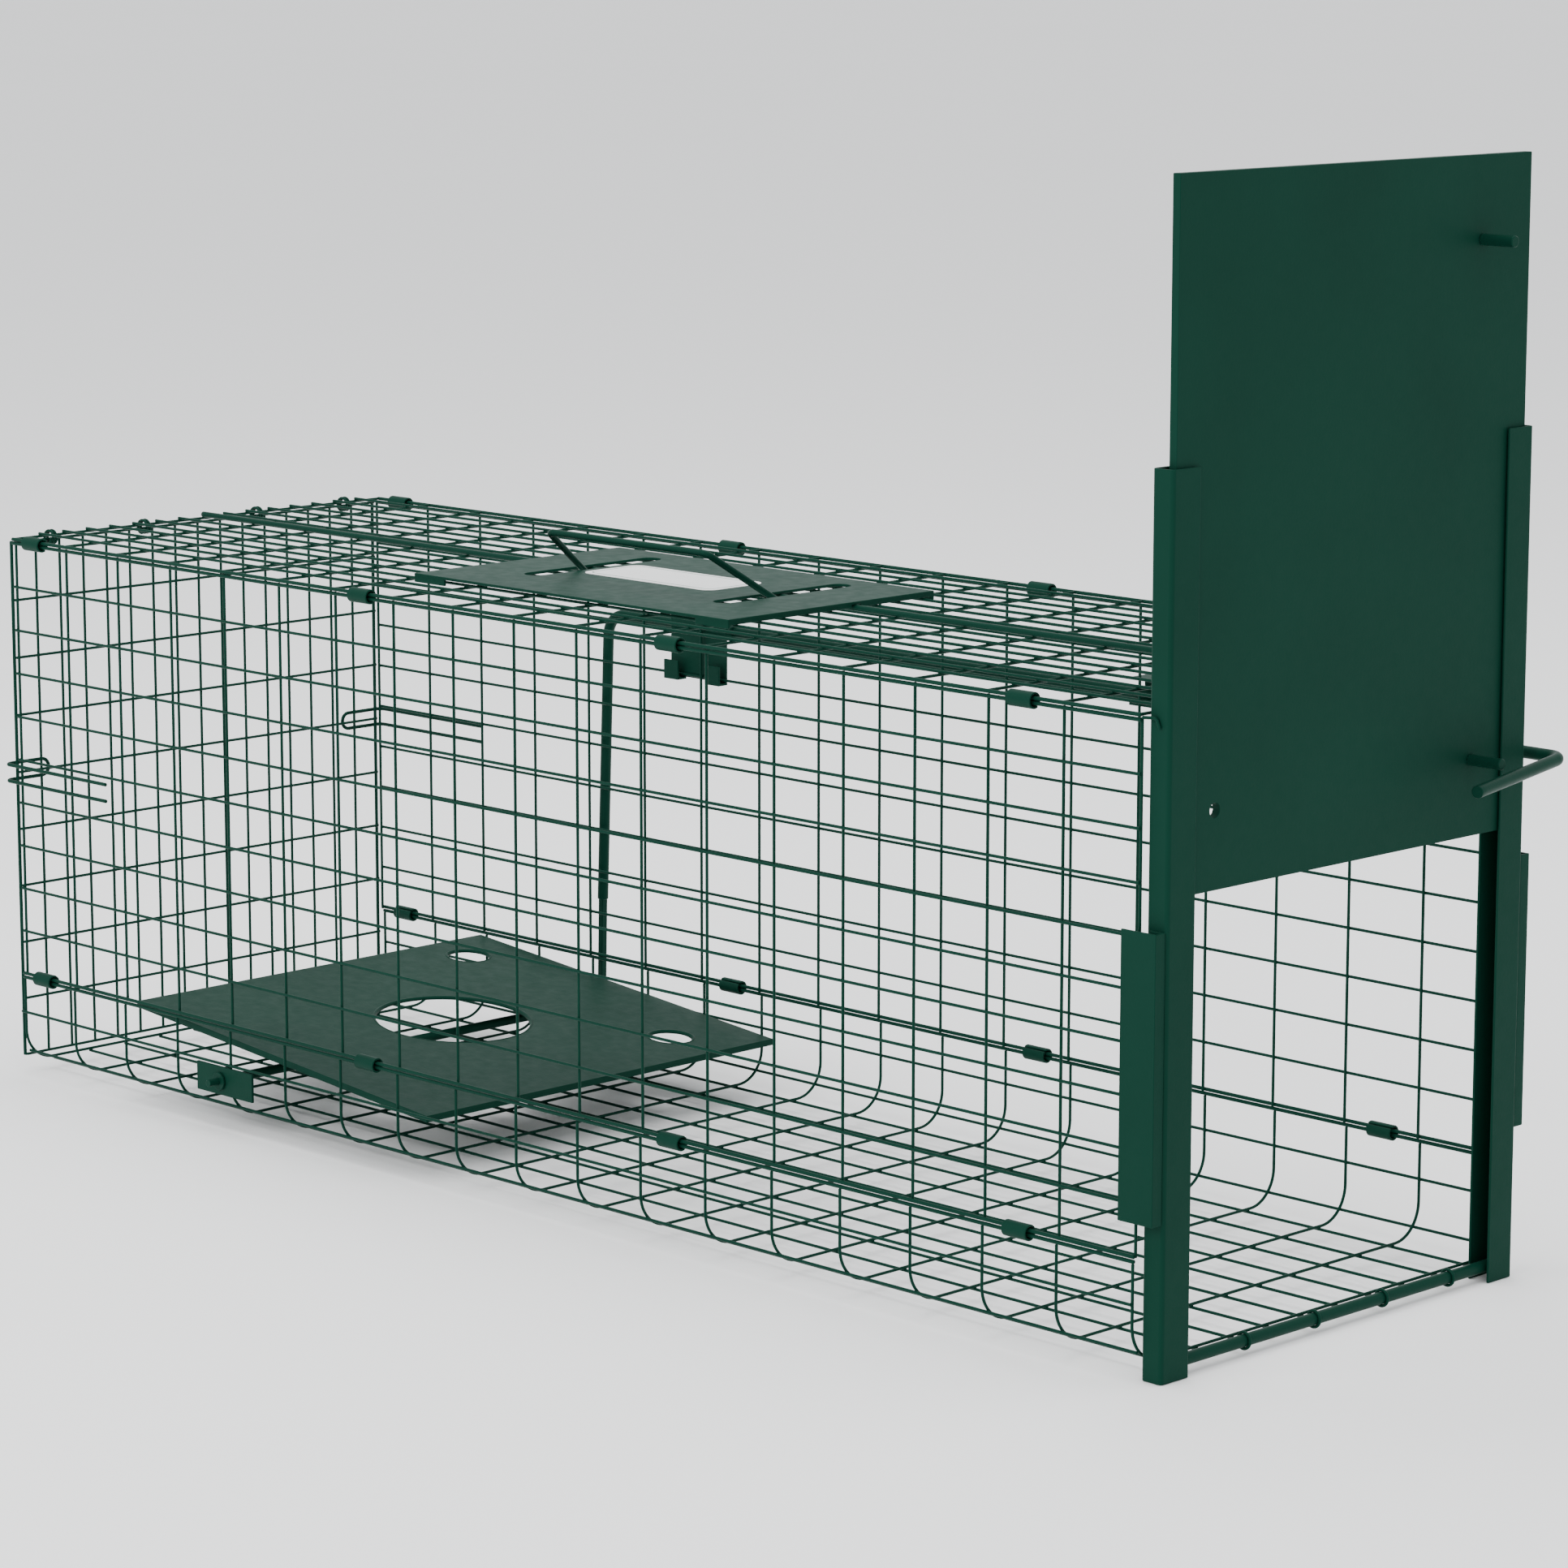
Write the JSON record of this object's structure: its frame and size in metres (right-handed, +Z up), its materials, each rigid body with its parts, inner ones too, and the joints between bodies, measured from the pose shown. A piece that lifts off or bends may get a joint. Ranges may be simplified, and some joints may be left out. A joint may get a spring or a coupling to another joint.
{
  "type": "live catch trap",
  "caption": "Wire-mesh live catch trap with a raised drop door, a tread pedal, an outside trigger rod, a hinged rear panel and a bail handle.",
  "frame": {"origin": "centre of the bounding box on the ground, level with the lower ends of the door channels", "axes": "+X runs from the rear panel to the door, +Z is up, and the trigger rod is on the +Y side"},
  "size_m": [0.8596, 0.283, 0.5265],
  "materials": {
    "green_wire": "satin",
    "green_sheet": "satin",
    "green_bar": "satin",
    "label_white": "blank white label"
  },
  "bodies": {
    "cage": {"tray_cross_wires": "green_wire", "tray_long_wires": "green_wire", "tray_top_rods": "green_wire", "bar_hinge_loops": "green_wire", "left_side_panel": "green_wire", "right_side_panel": "green_wire", "roof_panel": "green_wire", "roof_ridge_wire": "green_wire", "left_upright": "green_sheet", "right_upright": "green_sheet", "bottom_bar": "green_bar", "header_bar": "green_sheet", "left_keeper": "green_sheet", "right_keeper": "green_sheet", "corner_hooks": "green_wire", "rear_rod_bracket": "green_sheet", "front_rod_bracket": "green_sheet", "bracket_tabs": "green_sheet", "left_pivot_plate": "green_sheet", "right_pivot_plate": "green_sheet", "handle_plate": "green_sheet", "handle_label": "label_white", "upper_ferrules_left": "green_wire", "upper_ferrules_right": "green_wire", "lower_ferrules_left": "green_wire", "lower_ferrules_right": "green_wire"},
    "door": {"door_panel": "green_sheet", "lower_door_pin": "green_bar", "upper_door_pin": "green_bar"},
    "trigger": {"trigger_rod": "green_bar"},
    "pedal": {"pedal_plate": "green_sheet", "pedal_lugs": "green_sheet", "pedal_axle": "green_bar", "axle_washer": "green_bar", "trip_arm": "green_bar"},
    "rear_door": {"rear_panel": "green_wire", "rear_hinge_rings": "green_wire"},
    "left_clip": {"rear_clip_left": "green_wire"},
    "right_clip": {"rear_clip_right": "green_wire"},
    "bail": {"bail_handle": "green_bar"}
  },
  "joints": [
    {"name": "door_slide", "type": "slide", "parent": "cage", "child": "door", "axis": [0, 0, 1], "range_m": [-0.204, 0.03]},
    {"name": "trigger_turn", "type": "hinge", "parent": "cage", "child": "trigger", "pos_m": [-0.02213, 0.1345, 0.248], "axis": [1, 0, 0], "range_deg": [0, 70]},
    {"name": "pedal_tilt", "type": "hinge", "parent": "cage", "child": "pedal", "pos_m": [-0.24863, -0.0025, 0.0258], "axis": [0, 1, 0], "range_deg": [0, 6.5]},
    {"name": "rear_panel_swing", "type": "hinge", "parent": "cage", "child": "rear_door", "pos_m": [-0.42213, -0.0025, 0.29615], "axis": [0, 1, 0], "range_deg": [0, 90]},
    {"name": "clip_left_swing", "type": "hinge", "parent": "rear_door", "child": "left_clip", "pos_m": [-0.42883, -0.107, 0.168], "axis": [0, 0, 1], "range_deg": [-90, 0]},
    {"name": "clip_right_swing", "type": "hinge", "parent": "rear_door", "child": "right_clip", "pos_m": [-0.42883, 0.102, 0.168], "axis": [0, 0, 1], "range_deg": [0, 90]},
    {"name": "bail_swing", "type": "hinge", "parent": "cage", "child": "bail", "pos_m": [-0.02363, -0.0108, 0.2974], "axis": [1, 0, 0], "range_deg": [-110, 10]}
  ]
}
